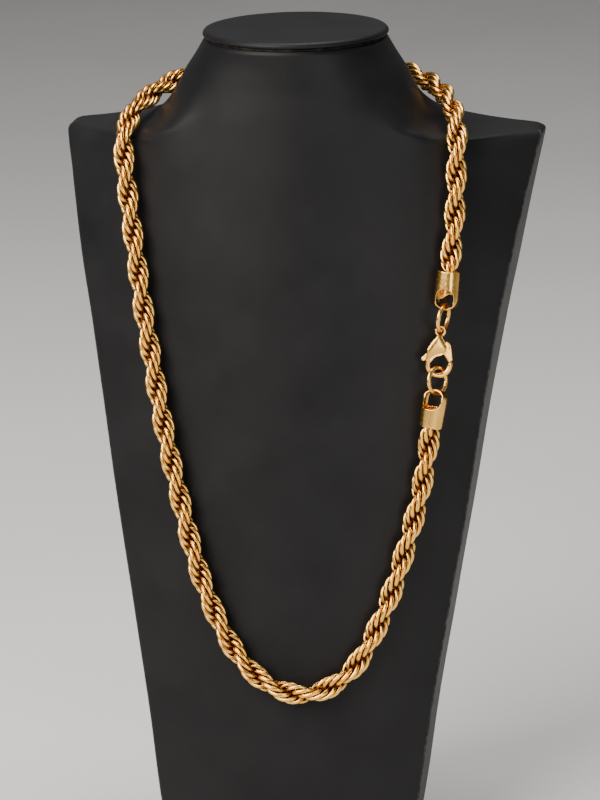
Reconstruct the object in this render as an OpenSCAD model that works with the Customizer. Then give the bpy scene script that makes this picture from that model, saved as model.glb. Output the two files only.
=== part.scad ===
// A rope chain necklace with a lobster clasp, worn by a padded neck bust.
// Lengths are millimetres. X runs across the shoulders, Y runs from the chest
// to the back, Z is up, and the foot of the bust stands on Z = 0.

/* [Bust] */
// Height of the bust to the top of its neck disc
bust_h = 230; // [225:1:245]
// Width across the shoulders
shoulder_w = 134; // [130:1:144]
// Reach of the chest's foot in front of the neck
foot_reach = 50; // [46:1:54]
// Reach of the flat back behind the neck's axis
back_reach = 25; // [20:0.5:26]
// Thickness of the flat base under the padding
foot_t = 3; // [2:0.5:6]
// Depth of the side faces below the shoulders
side_d = 27; // [20:1:30]
// Width of the neck under its disc
neck_w = 50.6; // [46:0.2:52]
// Width of the flat back as a share of the chest's width
back_share = 0.62; // [0.5:0.01:0.7]

/* [Neck disc] */
// Overhang of the disc round the neck
disc_lip = 0.4; // [0.2:0.1:1.2]
// Thickness of the disc
disc_t = 2.4; // [1.6:0.1:4]

/* [Rope chain] */
// Diameter of the rope over its lobes
rope_d = 6; // [5.4:0.1:6.2]
// Diameter of the rope where a cap squeezes it
crimp_d = 5.2; // [4.6:0.1:5.4]
// Length of rope held in a cap
crimp_l = 4; // [2:0.1:5]
// Length of squeezed rope that shows below a cap
crimp_out = 0.6; // [0.3:0.1:2]

/* [End caps] */
// Length of a cap from its mouth to the end of its eye
cap_l = 10.8; // [10:0.1:12]
// Thickness of the cap's rolled sheet
cap_wall = 0.45; // [0.3:0.05:0.6]
// How much wider, on the radius, a cap is at its eye than at its mouth
cap_flare = 0.25; // [0:0.05:0.4]
// Radial gap between the rope and the cap's bore
cap_gap = 0.1; // [0.05:0.01:0.2]
// Diameter of the eye through the cap's end
cap_eye_d = 5; // [4.4:0.1:5.2]
// Distance from the eye's point to the end of the cap
cap_eye_l = 6.3; // [5.6:0.1:6.6]
// Width of the strap round the eye's end
strap_w = 2; // [1.6:0.1:2.6]
// Width of the seam where the rolled sheet meets
seam_w = 0.16; // [0.1:0.02:0.3]

/* [Jump rings] */
// Diameter of a jump ring's wire
ring_wire = 1.2; // [1:0.05:1.3]
// Outer diameter of a jump ring
ring_od = 8.3; // [8:0.1:8.8]
// Gap between linked pieces where they bear
link_gap = 0.15; // [0.05:0.01:0.25]

/* [Clasp] */
// Width of the clasp over its hook
claw_od = 7.6; // [7.2:0.1:8]
// Length of the clasp with its eye
clasp_h = 14.4; // [13.8:0.1:15]
// Diameter of the hook's wire
hook_wire = 1.5; // [1.3:0.05:1.6]
// Diameter of the eye's wire
eye_wire = 0.6; // [0.5:0.05:0.75]
// Diameter of the hole in the clasp's eye
eye_hole = 1.85; // [1.75:0.05:2]
// Thickness of the lever
lever_t = 1.3; // [1.1:0.05:1.4]
// Gap between the lever and each cheek
lever_gap = 0.1; // [0.05:0.01:0.2]
// Thickness of a cheek
cheek_t = 0.85; // [0.6:0.05:1]
// Diameter of the lever's pin
pin_d = 0.9; // [0.7:0.05:1]
// Radial gap between the pin and the lever
pin_gap = 0.06; // [0.03:0.01:0.1]
// Gap between the lever's tip and the hook's tip
gate_gap = 0.12; // [0.06:0.01:0.2]

/* [Hidden] */
$fn = 64;
cut = 1; // how far a cutting solid runs past the face it cuts
seat_gap = 0.1; // gap between pieces that rest face to face
gold = [0.85, 0.62, 0.26];
leather = [0.07, 0.07, 0.08];

// The bust, from its foot up. Columns: height as a share from foot to neck top,
// width share (0 is the neck's width, 1 the shoulders'), how far the chest's
// edge and its middle line stand behind the neck's axis as shares of
// foot_reach, depth of the side face as a share of side_d, roundness (0 is a
// slab with side faces, 1 an oval neck), and how evenly the chest falls away to
// its edge (1 all the way across, 0 only close to the edge).
BUST_ROWS = [
    [0.000, 0.21, -0.785, -0.98, 0.67, 0.00, 1.0],
    [0.076, 0.28, -0.735, -0.945, 0.67, 0.00, 1.0],
    [0.165, 0.345, -0.68, -0.91, 0.67, 0.00, 1.0],
    [0.298, 0.46, -0.575, -0.84, 0.67, 0.00, 1.0],
    [0.432, 0.58, -0.47, -0.77, 0.67, 0.00, 1.0],
    [0.566, 0.688, -0.36, -0.70, 0.78, 0.00, 1.0],
    [0.655, 0.765, -0.28, -0.66, 0.93, 0.00, 1.0],
    [0.722, 0.832, -0.20, -0.63, 1.00, 0.00, 1.0],
    [0.788, 0.90, -0.08, -0.60, 0.93, 0.00, 1.0],
    [0.833, 0.95, 0.03, -0.57, 0.74, 0.00, 1.0],
    [0.860, 0.983, 0.10, -0.555, 0.56, 0.00, 1.0],
    [0.875, 1.00, 0.16, -0.547, 0.37, 0.00, 1.0],
    [0.880, 0.97, 0.19, -0.544, 0.30, 0.02, 0.92],
    [0.884, 0.80, 0.21, -0.541, 0.30, 0.10, 0.75],
    [0.891, 0.58, 0.22, -0.537, 0.33, 0.25, 0.52],
    [0.902, 0.39, 0.20, -0.531, 0.44, 0.55, 0.38],
    [0.915, 0.295, 0.16, -0.523, 0.52, 0.80, 0.30],
    [0.935, 0.21, 0.12, -0.512, 0.60, 1.00, 0.30],
    [0.962, 0.13, 0.12, -0.50, 0.60, 1.00, 0.30],
    [0.980, 0.065, 0.12, -0.496, 0.60, 1.00, 0.30],
    [1.000, 0.00, 0.12, -0.504, 0.60, 1.00, 0.30]];
chest_n = 24; // stations across the chest
side_n = 3; // stations down a side face, and down each slant behind it
back_n = 6; // stations across the flat back
foot_back = 0.56; // reach of the back at the foot as a share of back_reach
neck_top = bust_h - disc_t - seat_gap;

// The bust that the chain's places below were chosen on: width across the
// shoulders and the neck, reach in front of the neck's axis and behind it, and
// height to the neck's top. On another bust they move with its surface.
CHOSEN_ON = [134, 50.6, 50, 25, 227.5];
neck_from = 0.86; // the chest's width runs into the neck's over this stretch,
neck_to = 0.94; // as shares from foot to neck top

// The rope's middle line between the two caps, from the upper cap round the
// back of the neck and down to the lower cap: points chosen by hand.
ROUTE = [
    [46, -21, 176.5], [46.5, -18.5, 187], [46.5, -16.5, 195], [46.5, -15, 201],
    [46, -11, 205.5], [43.5, -3.5, 209.5], [39.5, 4.5, 212], [35.5, 11, 213],
    [30, 17, 214], [23.5, 22, 214.5], [14, 26.5, 214], [2, 28.5, 213.5],
    [-10, 27.5, 213.5], [-20, 24, 214], [-28.5, 18.5, 214], [-35, 12.5, 213],
    [-39, 6, 211.5], [-42.5, -1, 209.5], [-45, -8, 206.5], [-46, -14.5, 202],
    [-45.5, -17.5, 194.5], [-43.5, -21.5, 181.5], [-41.5, -24.5, 169.5], [-39.5, -27, 156.5],
    [-37, -29.5, 143], [-34.5, -32, 129.5], [-31.5, -34.5, 116], [-28, -37, 102],
    [-24, -40, 88], [-19, -42.5, 75], [-12.5, -45, 63.5], [-4, -47, 55.5],
    [5.5, -47.5, 52.5], [14, -46, 54.5], [21, -43.5, 60.5], [26.5, -41, 70.5],
    [31, -38, 82], [34.5, -35.5, 94], [37.5, -33, 105.5], [39.5, -31.5, 117]];
route_steps = 2; // rings of the tube for each route point
tube_sides = 12;
neck_y = 9.25; // how far the neck's axis stands behind the middle of the part
loop_core = [0, -10, 130]; // a point inside the loop, which the tube's rings face

// The clasp hangs on the chest in its own plane: x across, z up the clasp,
// and -y off the chest. The other fittings are placed in the same plane.
clasp_foot = [42.5, -28.5, 138.5]; // lowest point of the hook
clasp_turn = 18; // turn towards the side of the chest
clasp_lean = 7.5; // lean with the chest
clasp_tilt = 5; // slant across the chest
upper_ring_tilt = 9;
upper_ring_twist = 58;
upper_cap_tilt = 2;
upper_cap_twist = -24;
lower_ring_tilt = 4;
lower_ring_nod = -9; // how far its foot swings off the chest
lower_ring_twist = 39;
lower_cap_tilt = 5;
lower_cap_twist = -22;
lower_cap_nod = 6; // how far its eye leans off the chest
lower_ring_at = [0, 0.2]; // where the lower ring hangs on the hook, across and in
slant_gap = 0.62; // extra room where the lower ring crosses a piece at a slant

cap_bore_r = crimp_d / 2 + cap_gap;
cap_r = cap_bore_r + cap_wall;
ring_r = (ring_od - ring_wire) / 2;
claw_r = claw_od / 2;
hook_r = claw_r - hook_wire / 2;
eye_r = (eye_hole + eye_wire) / 2;
eye_z = clasp_h - eye_wire / 2 - eye_r;
rise = eye_z - claw_r; // from the middle of the hook to the middle of the eye
slot_t = lever_t + 2 * lever_gap;
body_t = slot_t + 2 * cheek_t;
bearing = ring_wire / 2 + link_gap;
ring_hole_r = ring_r - ring_wire / 2;
strap_room = ring_hole_r - sqrt(pow(ring_hole_r, 2) - pow(strap_w / 2, 2));
eye_bearing = bearing + strap_room + cap_wall; // from a ring's wire to the end of a cap

// Rounds of the clasp's outlines. Columns: place across and radius as shares
// of claw_r, and place up from the middle of the hook as a share of rise.
CHEEK_ROUNDS = [[-0.05, 0.18, 0.81], [0.12, 0.41, 0.49], [-0.26, 0.36, 0.56],
    [-0.45, 0.42, 0.375], [-0.76, 0.18, 0.11]];
PIVOT = [0.13, 0.30, 0.507];
SHOULDER = [0.43, 0.38, 0.53];
ELBOW = [0.65, 0.25, 0.32];
TIP = [0.81, 0.18, 0.12];
NUB_ROOT = [-0.87, 0.16, 0.264];
NUB_TIP = [-1.15, 0.17, 0.16];
cheek_cut = [0.03, 0.79, -0.01]; // the hollow of the cheeks above the hook's opening
slot_from = 0.13; // the slot's foot and head, as shares of rise
slot_to = 0.74;
hook_start = 162; // angle at which the hook's arc leaves the cheeks
hook_sweep = 225;
gate_angle = 36; // slant of the split between the hook's tip and the lever's
gate_at = [hook_r, claw_r + 0.07 * rise];

function mix(a, b, t) = a + (b - a) * t;
function unit(v) = v / norm(v);
function turn_x(p, a) = [p.x, p.y * cos(a) - p.z * sin(a), p.y * sin(a) + p.z * cos(a)];
function turn_y(p, a) = [p.x * cos(a) + p.z * sin(a), p.y, p.z * cos(a) - p.x * sin(a)];
function turn_z(p, a) = [p.x * cos(a) - p.y * sin(a), p.x * sin(a) + p.y * cos(a), p.z];

// A place of the chain, moved with the bust that wears it
function worn(p) =
    let (share = (p.z - foot_t) / (CHOSEN_ON[4] - foot_t),
        necked = max(0, min(1, (share - neck_from) / (neck_to - neck_from))),
        across = mix(shoulder_w / CHOSEN_ON[0], neck_w / CHOSEN_ON[1], necked),
        reach = p.y < 0 ? foot_reach / CHOSEN_ON[2] : back_reach / CHOSEN_ON[3])
    [p.x * across, p.y * reach, mix(foot_t, neck_top, share)];

clasp_at = worn(clasp_foot);

// A point of the clasp's plane in the frame of the whole part
function on_chest(p) =
    clasp_at + turn_z(turn_x(turn_y(p, clasp_tilt), -clasp_lean), clasp_turn);
function up(a) = [sin(a), 0, cos(a)];
function nod(p, a) = turn_x(p, a);

// Outline of one bust section as a slab with a crowned chest
function slab(w, edge, mid, d, back, even) = concat(
    [for (i = [0:chest_n]) let (u = 2 * i / chest_n - 1)
        [w * u, mix(mid, edge, even * pow(u, 2) + (1 - even) * pow(u, 6))]],
    [for (i = [1:side_n]) [w, edge + d * i / side_n]],
    [for (i = [1:side_n]) let (f = i / side_n)
        [w * mix(1, back_share, f), mix(edge + d, back, f)]],
    [for (i = [1:back_n]) [w * back_share * (1 - 2 * i / back_n), back]],
    [for (i = [1:side_n]) let (f = i / side_n)
        [-w * mix(back_share, 1, f), mix(back, edge + d, f)]],
    [for (i = [1:side_n - 1]) [-w, edge + d * (1 - i / side_n)]]);

// Angles of the same stations on an oval section
oval_angles = concat(
    [for (i = [0:chest_n]) mix(192, 348, i / chest_n)],
    [for (i = [1:side_n]) mix(348, 380, i / side_n)],
    [for (i = [1:side_n]) mix(380, 415, i / side_n)],
    [for (i = [1:back_n]) mix(415, 485, i / back_n)],
    [for (i = [1:side_n]) mix(485, 520, i / side_n)],
    [for (i = [1:side_n - 1]) mix(520, 552, i / side_n)]);
function oval(w, mid, back) =
    [for (a = oval_angles) [w * cos(a), (back + mid) / 2 + (back - mid) / 2 * sin(a)]];

function bust_ring(row) =
    let (z = mix(foot_t, neck_top, row[0]),
        w = mix(neck_w, shoulder_w, row[1]) / 2,
        edge = row[2] * foot_reach,
        mid = row[3] * foot_reach,
        d = row[4] * side_d,
        back = back_reach * mix(foot_back, 1, row[0]),
        flat = slab(w, edge, mid, d, back, row[6]),
        round = oval(w, mid, back))
    [for (i = [0:len(flat) - 1])
        let (p = mix(flat[i], round[i], row[5])) [p.x, p.y, z]];

function middle(ring) = [for (a = ring) 1] * ring / len(ring);

// A solid skinned over a list of rings, each closed end a fan from its middle
module skin(rings) {
    n = len(rings[0]);
    last = (len(rings) - 1) * n;
    points = concat([for (ring = rings, p = ring) p],
        [middle(rings[0]), middle(rings[len(rings) - 1])]);
    faces = concat(
        [for (i = [0:n - 1]) [i, (i + 1) % n, len(points) - 2]],
        [for (k = [0:n:last - n], i = [0:n - 1]) [k + i, k + n + i, k + n + (i + 1) % n]],
        [for (k = [0:n:last - n], i = [0:n - 1]) [k + i, k + n + (i + 1) % n, k + (i + 1) % n]],
        [for (i = [0:n - 1]) [last + (i + 1) % n, last + i, len(points) - 1]]);
    polyhedron(points, faces);
}

function held(list, i) = list[max(0, min(len(list) - 1, i))];

// A smooth line through the points of a list, at t between points i and i + 1
function along(list, i, t) =
    let (a = held(list, i - 1), b = list[i], c = held(list, i + 1), d = held(list, i + 2))
    0.5 * (2 * b + (c - a) * t + (2 * a - 5 * b + 4 * c - d) * t * t
        + (3 * b - a - 3 * c + d) * t * t * t);

// Where the fittings hang, in the clasp's plane
upper_ring_foot = [0, 0, eye_z + eye_r - eye_wire / 2 - bearing];
upper_cap_end = upper_ring_foot + 2 * ring_r * up(upper_ring_tilt)
    - eye_bearing * up(upper_cap_tilt);
upper_mouth = upper_cap_end + cap_l * up(upper_cap_tilt);
lower_ring_top = [lower_ring_at.x, lower_ring_at.y, hook_wire + bearing + slant_gap];
lower_ring_foot = lower_ring_top - 2 * ring_r * nod(up(lower_ring_tilt), lower_ring_nod);
lower_cap_way = nod(up(lower_cap_tilt), lower_cap_nod);
lower_cap_end = lower_ring_foot + (eye_bearing + slant_gap) * lower_cap_way;
lower_mouth = lower_cap_end - cap_l * lower_cap_way;

// The rope's whole line, with its two ends inside the caps
rope_line = concat(
    [for (d = [-crimp_l, crimp_out]) on_chest(upper_mouth + d * up(upper_cap_tilt))],
    [for (p = ROUTE) worn(p)],
    [for (d = [-crimp_out, crimp_l]) on_chest(lower_mouth + d * lower_cap_way)]);
rope_points = concat(
    [for (i = [0:len(rope_line) - 2], k = [0:route_steps - 1])
        along(rope_line, i, k / route_steps)],
    [rope_line[len(rope_line) - 1]]);
rope_last = len(rope_points) - 1;

function rope_radius(i) =
    (min(i, rope_last - i) <= route_steps ? crimp_d : rope_d) / 2;
function rope_ring(i) =
    let (p = rope_points[i],
        way = unit(held(rope_points, i + 1) - held(rope_points, i - 1)),
        side = unit(cross(way, p - loop_core)),
        rest = cross(way, side))
    [for (k = [0:tube_sides - 1]) let (a = 360 * k / tube_sides)
        p + rope_radius(i) * (cos(a) * side + sin(a) * rest)];

// Set down what is drawn about the neck's axis, in the frame of the part
module from_neck() {
    translate([0, neck_y, 0])
        children();
}

module in_clasp_plane() {
    translate(clasp_at + [0, neck_y, 0])
        rotate([0, 0, clasp_turn])
            rotate([-clasp_lean, 0, 0])
                rotate([0, clasp_tilt, 0])
                    children();
}

module neck_bust() {
    foot = bust_ring(BUST_ROWS[0]);
    color(leather)
        from_neck()
            union() {
                linear_extrude(foot_t)
                    polygon([for (p = foot) [p.x, p.y]]);
                skin([for (row = BUST_ROWS) bust_ring(row)]);
            }
}

module neck_disc() {
    rim_r = neck_w / 2 + disc_lip - disc_t / 2;
    color(leather)
        translate([0, neck_y, neck_top + seat_gap])
            rotate_extrude($fn = 96)
                union() {
                    square([rim_r, disc_t]);
                    translate([rim_r, disc_t / 2])
                        circle(d = disc_t);
                }
}

module rope_chain() {
    color(gold)
        from_neck()
            skin([for (i = [0:rope_last]) rope_ring(i)]);
}

// A cap of rolled sheet: mouth at z = 0, and an eye cut through its closed end
module end_cap() {
    eye_end_r = cap_r + cap_flare;
    dome_z = cap_l - eye_end_r;
    hole_z = cap_l - cap_wall - cap_eye_d / 2;
    point_z = cap_l - cap_eye_l;
    difference() {
        union() {
            cylinder(h = dome_z, r1 = cap_r, r2 = eye_end_r);
            translate([0, 0, dome_z])
                sphere(r = eye_end_r);
        }
        translate([0, 0, -cut])
            cylinder(h = crimp_l + cut, r = cap_bore_r);
        translate([0, 0, crimp_l - seat_gap])
            cylinder(h = dome_z - crimp_l + seat_gap, r1 = cap_bore_r, r2 = cap_bore_r + cap_flare);
        translate([0, 0, dome_z])
            sphere(r = cap_bore_r + cap_flare);
        rotate([90, 0, 0])
            linear_extrude(2 * (eye_end_r + cut), center = true)
                union() {
                    translate([0, hole_z])
                        circle(d = cap_eye_d);
                    polygon([[0, point_z],
                        [0.36 * cap_eye_d, hole_z - 0.28 * cap_eye_d],
                        [-0.36 * cap_eye_d, hole_z - 0.28 * cap_eye_d]]);
                }
        translate([-seam_w / 2, -cap_r - cut, -cut])
            cube([seam_w, cap_r + cut, point_z + 2 * cut]);
        for (side = [-1, 1])
            translate([-cap_l, side * (strap_w / 2 + cap_l) - cap_l, hole_z])
                cube([2 * cap_l, 2 * cap_l, cap_l]);
    }
}

module upper_end_cap() {
    color(gold)
        in_clasp_plane()
            translate(upper_mouth)
                rotate([0, upper_cap_tilt, 0])
                    rotate([0, 180, upper_cap_twist])
                        end_cap();
}

module lower_end_cap() {
    color(gold)
        in_clasp_plane()
            translate(lower_mouth)
                rotate([lower_cap_nod, 0, 0])
                    rotate([0, lower_cap_tilt, 0])
                        rotate([0, 0, lower_cap_twist])
                            end_cap();
}

// A wire hoop in the x-z plane
module hoop(r, wire, start = 0, sweep = 360) {
    rotate([90, 0, 0])
        rotate([0, 0, start])
            rotate_extrude(angle = sweep)
                translate([r, 0])
                    circle(d = wire);
}

module upper_jump_ring() {
    color(gold)
        in_clasp_plane()
            translate(upper_ring_foot)
                rotate([0, upper_ring_tilt, 0])
                    rotate([0, 0, upper_ring_twist])
                        translate([0, 0, ring_r])
                            hoop(ring_r, ring_wire);
}

module lower_jump_ring() {
    color(gold)
        in_clasp_plane()
            translate(lower_ring_top)
                rotate([lower_ring_nod, 0, 0])
                    rotate([0, lower_ring_tilt, 0])
                        rotate([0, 0, lower_ring_twist])
                            translate([0, 0, -ring_r])
                                hoop(ring_r, ring_wire);
}

// One round of an outline in the clasp's plane, grown by more
module round_at(row, more = 0) {
    translate([row[0] * claw_r, claw_r + row[2] * rise])
        circle(r = row[1] * claw_r + more, $fn = 32);
}

// A flat outline in the clasp's plane, given thickness about its middle
module plate(t) {
    rotate([90, 0, 0])
        linear_extrude(t, center = true)
            children();
}

module pin_hole(r) {
    translate([PIVOT[0] * claw_r, 0, claw_r + PIVOT[2] * rise])
        rotate([90, 0, 0])
            cylinder(h = body_t + 2 * cut, r = r, center = true);
}

module clasp_body() {
    color(gold)
        in_clasp_plane()
            difference() {
                union() {
                    translate([0, 0, claw_r])
                        hoop(hook_r, hook_wire, hook_start, hook_sweep);
                    difference() {
                        plate(body_t)
                            difference() {
                                hull()
                                    for (row = CHEEK_ROUNDS)
                                        round_at(row);
                                round_at(cheek_cut);
                            }
                        translate([-claw_od, -slot_t / 2, claw_r + slot_from * rise])
                            cube([2 * claw_od, slot_t, (slot_to - slot_from) * rise]);
                    }
                    translate([0, 0, eye_z])
                        hoop(eye_r, eye_wire);
                }
                pin_hole(pin_d / 2 + seat_gap / 4);
                translate([gate_at[0], 0, gate_at[1]])
                    rotate([0, -gate_angle, 0])
                        translate([-hook_wire, -hook_wire, 0])
                            cube([3 * hook_wire, 2 * hook_wire, 2 * hook_wire]);
            }
}

module clasp_lever() {
    color(gold)
        in_clasp_plane()
            difference() {
                plate(lever_t)
                    difference() {
                        union() {
                            hull() {
                                round_at(PIVOT);
                                round_at(SHOULDER);
                                round_at(ELBOW);
                            }
                            hull() {
                                round_at(SHOULDER);
                                round_at(ELBOW);
                                round_at(TIP);
                            }
                            hull() {
                                round_at(PIVOT, -0.12 * claw_r);
                                round_at(NUB_ROOT);
                            }
                            hull() {
                                round_at(NUB_ROOT);
                                round_at(NUB_TIP);
                            }
                        }
                        translate(gate_at)
                            rotate(gate_angle)
                                translate([-2 * hook_wire, gate_gap - 2 * hook_wire])
                                    square([4 * hook_wire, 2 * hook_wire]);
                    }
                pin_hole(pin_d / 2 + pin_gap);
            }
}

module clasp_pin() {
    color(gold)
        in_clasp_plane()
            translate([PIVOT[0] * claw_r, 0, claw_r + PIVOT[2] * rise])
                rotate([90, 0, 0])
                    cylinder(h = body_t - 2 * seat_gap, d = pin_d, center = true);
}

neck_bust();
neck_disc();
rope_chain();
upper_end_cap();
lower_end_cap();
upper_jump_ring();
lower_jump_ring();
clasp_body();
clasp_lever();
clasp_pin();
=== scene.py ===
import math

import bmesh
import bpy
import numpy as np
from mathutils import Matrix, Vector, noise


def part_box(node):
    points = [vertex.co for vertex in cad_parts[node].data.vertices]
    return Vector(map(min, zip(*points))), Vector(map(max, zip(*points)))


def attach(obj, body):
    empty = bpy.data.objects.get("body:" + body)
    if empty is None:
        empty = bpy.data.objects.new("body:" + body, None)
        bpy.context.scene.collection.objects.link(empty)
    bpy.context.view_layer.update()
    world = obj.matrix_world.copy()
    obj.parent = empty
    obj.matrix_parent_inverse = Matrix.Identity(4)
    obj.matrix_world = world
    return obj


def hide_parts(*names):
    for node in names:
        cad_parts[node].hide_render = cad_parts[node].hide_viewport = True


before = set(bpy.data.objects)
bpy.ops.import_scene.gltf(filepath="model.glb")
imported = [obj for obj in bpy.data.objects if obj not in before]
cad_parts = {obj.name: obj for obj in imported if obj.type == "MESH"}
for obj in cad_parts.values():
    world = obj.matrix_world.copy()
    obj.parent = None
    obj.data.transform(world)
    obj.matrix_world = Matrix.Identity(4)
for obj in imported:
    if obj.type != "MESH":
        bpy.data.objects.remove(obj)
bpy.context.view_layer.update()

MM = 0.001
WORN = "necklace_on_bust"
LEVER = "lever"
GOLD = "gold_plate"
LEATHER = "black_leatherette"

# Meshes and fields in general
WELD = 2e-6
TINY = 1e-9
POLISH_PASSES = 2
# How far two forms of a casting or a cap round into each other
BLEND_TAIL = 0.0006
BLEND_EYE = 0.0005
BLEND_ROOT = 0.0004
BLEND_SOFT = 0.0003
BLEND_EDGE = 0.0002
BLEND_SHEET = 0.00012
BLEND_CRISP = 0.0001
BLEND_SEAM = 0.00006

# Camera
PHOTO_FOCAL_PX = 4322.3
PHOTO_HEIGHT_PX = 800
SENSOR = 36
CAMERA_DISTANCE = 1.2
CAMERA_AIM = Vector((0.00213, -0.00811, 0.12831))
CAMERA_AZIMUTH = 10
CAMERA_ELEVATION = 15
CAMERA_ROLL = -1.2
CLIP_NEAR = 0.05
CLIP_FAR = 50

# Lights, floor and air
LIGHT_AIM = (0, -0.02, 0.13)
# Columns: name, place, size, power and colour
LIGHTS = [
    ("key", (-0.45, -0.65, 0.75), (0.8, 0.8), 22, (1, 0.95, 0.88)),
    ("fill", (0.62, -0.88, 0.20), (0.5, 0.6), 4, (1, 0.97, 0.93)),
    ("top", (0.05, 0.15, 0.95), (0.6, 0.4), 7, (1, 0.98, 0.95)),
]
FLOOR_REACH = 6
AIR_COLOR = (0.75, 0.76, 0.78, 1)
AIR_STRENGTH = 0.22

# Tones of the materials, the darker one first
GOLD_TONES = ((0.95, 0.51, 0.11), (1.0, 0.60, 0.15))
# Painted shade: gold darker and redder where the rope's links lie deep
PAINTED_SHADE_TONE = (0.30, 0.12, 0.025, 1)
LEATHER_TONES = ((0.0045, 0.0045, 0.0052), (0.0085, 0.0085, 0.0095))
# Painted highlight along the bust's front edges, together with real rubbing
WEAR_AND_HIGHLIGHT_TONE = (0.12, 0.115, 0.115, 1)
GLUE_TONES = ((0.003, 0.003, 0.003), (0.04, 0.022, 0.014))
FLOOR_TONES = ((0.62, 0.61, 0.60), (0.66, 0.65, 0.64))

# Bust, as the part's source states it
NECK_AXIS_Y = 0.00925
SHOULDER_W = 0.134
NECK_W = 0.0506
FOOT_REACH = 0.05
BACK_REACH = 0.025
SIDE_D = 0.027
FOOT_T = 0.003
BACK_SHARE = 0.62
FOOT_BACK = 0.56
# Columns: height, width, edge and middle of the chest, side depth, roundness,
# and how evenly the chest falls away to its edge
BUST_ROWS = np.array([
    [0.000, 0.21, -0.785, -0.98, 0.67, 0.00, 1.0],
    [0.076, 0.28, -0.735, -0.945, 0.67, 0.00, 1.0],
    [0.165, 0.345, -0.68, -0.91, 0.67, 0.00, 1.0],
    [0.298, 0.46, -0.575, -0.84, 0.67, 0.00, 1.0],
    [0.432, 0.58, -0.47, -0.77, 0.67, 0.00, 1.0],
    [0.566, 0.688, -0.36, -0.70, 0.78, 0.00, 1.0],
    [0.655, 0.765, -0.28, -0.66, 0.93, 0.00, 1.0],
    [0.722, 0.832, -0.20, -0.63, 1.00, 0.00, 1.0],
    [0.788, 0.90, -0.08, -0.60, 0.93, 0.00, 1.0],
    [0.833, 0.95, 0.03, -0.57, 0.74, 0.00, 1.0],
    [0.860, 0.983, 0.10, -0.555, 0.56, 0.00, 1.0],
    [0.875, 1.00, 0.16, -0.547, 0.37, 0.00, 1.0],
    [0.880, 0.97, 0.19, -0.544, 0.30, 0.02, 0.92],
    [0.884, 0.80, 0.21, -0.541, 0.30, 0.10, 0.75],
    [0.891, 0.58, 0.22, -0.537, 0.33, 0.25, 0.52],
    [0.902, 0.39, 0.20, -0.531, 0.44, 0.55, 0.38],
    [0.915, 0.295, 0.16, -0.523, 0.52, 0.80, 0.30],
    [0.935, 0.21, 0.12, -0.512, 0.60, 1.00, 0.30],
    [0.962, 0.13, 0.12, -0.50, 0.60, 1.00, 0.30],
    [0.980, 0.065, 0.12, -0.496, 0.60, 1.00, 0.30],
    [1.000, 0.00, 0.12, -0.504, 0.60, 1.00, 0.30]])
# Stations round and up the bust
BUST_LEVELS = 190
LEVEL_GRID = 2001
CREST_AT = 0.89
CREST_REACH = 0.025
CREST_CROWDING = 4
CHEST_STATIONS = 90
SIDE_STATIONS = 12
BACK_STATIONS = 24
CORNER_STEPS = np.array([0, 0.25, 0.5, 0.75, 1.0, 1.3, 1.7, 2.3]) * MM
CORNER_SHARE = 0.45
CORNER_PASSES = 6
CHEST_POWER = 6
# Where the stretches of the outline begin on the neck's oval, in degrees
OVAL_ANGLES = (192, 348, 380, 415, 485, 520, 552)
# Rounded foot, how far the wear and painted highlight reach from the front edges,
# and what keeps them off the neck
FOOT_ROUND = 0.0005
FOOT_TUCK = 0.15
RUB_AND_HIGHLIGHT_REACH = 0.0009
UNMARKED = 0.02
# Softening between chest and neck: its reach, the shares of a section's half
# width and of the shoulders' over which it fades, and its heights
SOFT_REACH = 0.012
SOFT_STEP = 0.0002
SOFT_FULL = 0.7
SOFT_EDGE = 0.96
SOFT_SHARES = (0.5, 0.78)
SOFT_FROM = 0.175
SOFT_TO = 0.205
# Soft folds of the covering: two ends of a fold's line, its half width, its height
FOLDS = [
    ((0.030, -0.020, 0.196), (0.044, -0.018, 0.186), 0.0026, -0.0008),
    ((0.028, -0.019, 0.203), (0.046, -0.012, 0.198), 0.0022, 0.0006),
]
FOLD_ENDS = (0.02, 0.98)
PADDING_PITCH = 38
PADDING_SWELL = 0.00018
DRAPED_FROM = (0.003, 0.02)
DRAPED_TO = (0.218, 0.226)

# Disc on the neck, and the glue under it
DISC_TURNS = 180
DISC_MIDDLE = 0.00012
DISC_INSET = 0.0001
DISC_UNDERSIDE = 0.45
DISC_WAVE = 0.00008
DISC_WAVE_PITCH = (3, 300)
RIM_STEPS = 14
RIM_STEP = 0.0002
RIM_FROM = 0.004
RIM_TUCK = 0.003
GLUE_TURNS = 160
GLUE_SIDES = 8
GLUE_INSET = 0.0013
GLUE_R = 0.0005
GLUE_UNEVEN = 0.5
GLUE_PITCH = 9

# Rope chain
LINK_STEP = 0.00178
LINK_TURN = math.radians(30)
LINK_WIRE = 0.00118
LINK_HALF_WIDTH = 0.00245
LINK_HALF_LENGTH = 0.00325
LINK_LEAN = -0.15
LINK_STATIONS = 40
LINK_SIDES = 9
# Reach from the rope's middle line within which shade is painted on the links
PAINTED_SHADE_R = 0.0016
LINK_TURN_SPREAD = math.radians(1.2)
LINK_LENGTH_SPREAD = 0.006
CRIMP_SHARE = 0.87
CRIMP_LENGTH = 0.0046
CRIMP_EASE = (0.001, 0.0015)
LINE_STEPS = 8
ROPE_SEED = 7
# Ends of the CAD tube: how sharply an edge turns to be of a rim, and a length that
# spans one rim but doesn't reach the other
RIM_TURN = math.radians(60)
RIM_SPAN = 0.01

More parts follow.
